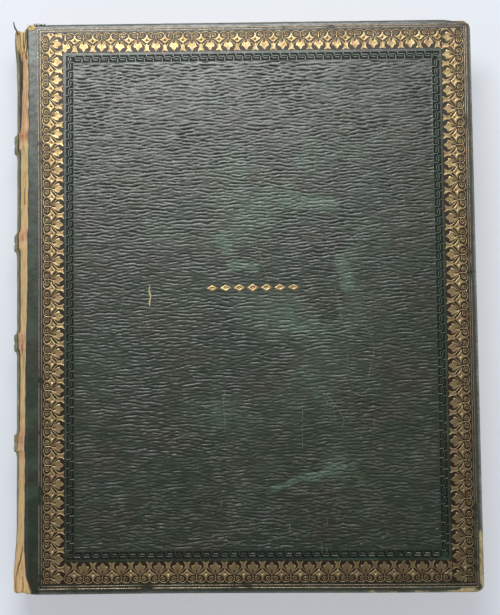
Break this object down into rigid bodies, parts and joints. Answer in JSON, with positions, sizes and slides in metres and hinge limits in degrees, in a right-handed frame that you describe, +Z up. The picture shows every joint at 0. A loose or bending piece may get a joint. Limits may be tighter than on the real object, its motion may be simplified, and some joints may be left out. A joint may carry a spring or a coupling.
{
  "type": "keepsake album",
  "caption": "Closed leather-bound keepsake album with gilt-tooled covers that open, leaves that fan out, a rounded spine with raised bands and sewn sections.",
  "frame": {"origin": "middle of the footprint's bounding box, on the surface that the closed album lies on", "axes": "+X from the spine to the fore-edge, +Y from the tail to the head, +Z up out of the front cover"},
  "size_m": [0.2366, 0.29, 0.038],
  "materials": {
    "green_leather": "dark green straight-grained leather, rubbed, with a soft sheen",
    "gilt": null,
    "millboard": null,
    "leaf_paper": null,
    "marbled_paper": null,
    "drab_paper": null,
    "linen": "open-weave glued linen",
    "hemp": "hemp cord",
    "linen_thread": "waxed linen thread",
    "silk": "silk-worked end band"
  },
  "bodies": {
    "book_block": {"spine_leather": "green_leather", "raised_bands": "millboard", "spine_hollow": "drab_paper", "spine_linen": "linen", "sewing_cords": "hemp", "kettle_stitches": "linen_thread", "headband": "silk", "tailband": "silk", "front_fold_guard": "leaf_paper", "back_fold_guard": "leaf_paper", "section_01": "leaf_paper", "section_02": "leaf_paper", "section_03": "leaf_paper", "section_04": "leaf_paper", "section_05": "leaf_paper", "section_06": "leaf_paper", "section_07": "leaf_paper", "section_08": "leaf_paper", "section_09": "leaf_paper", "section_10": "leaf_paper", "section_11": "leaf_paper", "section_12": "leaf_paper"},
    "front_cover": {"front_board": "millboard", "front_cover_leather": "green_leather", "front_cord_slips": "hemp", "front_gilt_border": "gilt", "front_gilt_ornament": "gilt", "front_pastedown": "marbled_paper"},
    "back_cover": {"back_board": "millboard", "back_cover_leather": "green_leather", "back_cord_slips": "hemp", "back_gilt_border": "gilt", "back_pastedown": "marbled_paper"},
    "front_flyleaf": {"front_flyleaf": "marbled_paper"},
    "back_flyleaf": {"back_flyleaf": "marbled_paper"},
    "front_leaf_01": {"front_leaf_01": "leaf_paper"},
    "front_leaf_02": {"front_leaf_02": "leaf_paper"},
    "front_leaf_03": {"front_leaf_03": "leaf_paper"},
    "front_leaf_04": {"front_leaf_04": "leaf_paper"},
    "front_leaf_05": {"front_leaf_05": "leaf_paper"},
    "front_leaf_06": {"front_leaf_06": "leaf_paper"},
    "back_leaf_01": {"back_leaf_01": "leaf_paper"},
    "back_leaf_02": {"back_leaf_02": "leaf_paper"},
    "back_leaf_03": {"back_leaf_03": "leaf_paper"}
  },
  "joints": [
    {"name": "front_cover_hinge", "type": "hinge", "parent": "book_block", "child": "front_cover", "pos_m": [-0.1087, 0, 0.038], "axis": [0, -1, 0], "range_deg": [0, 180]},
    {"name": "back_cover_hinge", "type": "hinge", "parent": "book_block", "child": "back_cover", "pos_m": [-0.1087, 0, 0], "axis": [0, 1, 0], "range_deg": [0, 180]},
    {"name": "front_flyleaf_fold", "type": "hinge", "parent": "front_cover", "child": "front_flyleaf", "pos_m": [-0.1075, 0, 0.03377], "axis": [0, -1, 0], "range_deg": [-81, 0]},
    {"name": "back_flyleaf_fold", "type": "hinge", "parent": "back_cover", "child": "back_flyleaf", "pos_m": [-0.1075, 0, 0.00422], "axis": [0, 1, 0], "range_deg": [-81, 0]},
    {"name": "front_leaf_01_fold", "type": "hinge", "parent": "book_block", "child": "front_leaf_01", "pos_m": [-0.1065, 0, 0.03305], "axis": [0, -1, 0], "range_deg": [0, 90]},
    {"name": "front_leaf_02_fold", "type": "hinge", "parent": "book_block", "child": "front_leaf_02", "pos_m": [-0.1059, 0, 0.03265], "axis": [0, -1, 0], "range_deg": [0, 75.6]},
    {"name": "front_leaf_03_fold", "type": "hinge", "parent": "book_block", "child": "front_leaf_03", "pos_m": [-0.1053, 0, 0.03225], "axis": [0, -1, 0], "range_deg": [0, 61.2]},
    {"name": "front_leaf_04_fold", "type": "hinge", "parent": "book_block", "child": "front_leaf_04", "pos_m": [-0.1047, 0, 0.03185], "axis": [0, -1, 0], "range_deg": [0, 46.8]},
    {"name": "front_leaf_05_fold", "type": "hinge", "parent": "book_block", "child": "front_leaf_05", "pos_m": [-0.1041, 0, 0.03145], "axis": [0, -1, 0], "range_deg": [0, 32.4]},
    {"name": "front_leaf_06_fold", "type": "hinge", "parent": "book_block", "child": "front_leaf_06", "pos_m": [-0.1035, 0, 0.03105], "axis": [0, -1, 0], "range_deg": [0, 18]},
    {"name": "back_leaf_01_fold", "type": "hinge", "parent": "book_block", "child": "back_leaf_01", "pos_m": [-0.1065, 0, 0.00495], "axis": [0, 1, 0], "range_deg": [0, 90]},
    {"name": "back_leaf_02_fold", "type": "hinge", "parent": "book_block", "child": "back_leaf_02", "pos_m": [-0.1059, 0, 0.00535], "axis": [0, 1, 0], "range_deg": [0, 68.4]},
    {"name": "back_leaf_03_fold", "type": "hinge", "parent": "book_block", "child": "back_leaf_03", "pos_m": [-0.1053, 0, 0.00575], "axis": [0, 1, 0], "range_deg": [0, 46.8]}
  ],
  "couplings": [
    {"joint": "front_flyleaf_fold", "follows": "front_cover_hinge", "ratio": -0.45},
    {"joint": "back_flyleaf_fold", "follows": "back_cover_hinge", "ratio": -0.45},
    {"joint": "front_leaf_01_fold", "follows": "front_cover_hinge", "ratio": 0.5},
    {"joint": "front_leaf_02_fold", "follows": "front_cover_hinge", "ratio": 0.42},
    {"joint": "front_leaf_03_fold", "follows": "front_cover_hinge", "ratio": 0.34},
    {"joint": "front_leaf_04_fold", "follows": "front_cover_hinge", "ratio": 0.26},
    {"joint": "front_leaf_05_fold", "follows": "front_cover_hinge", "ratio": 0.18},
    {"joint": "front_leaf_06_fold", "follows": "front_cover_hinge", "ratio": 0.1},
    {"joint": "back_leaf_01_fold", "follows": "back_cover_hinge", "ratio": 0.5},
    {"joint": "back_leaf_02_fold", "follows": "back_cover_hinge", "ratio": 0.38},
    {"joint": "back_leaf_03_fold", "follows": "back_cover_hinge", "ratio": 0.26}
  ]
}
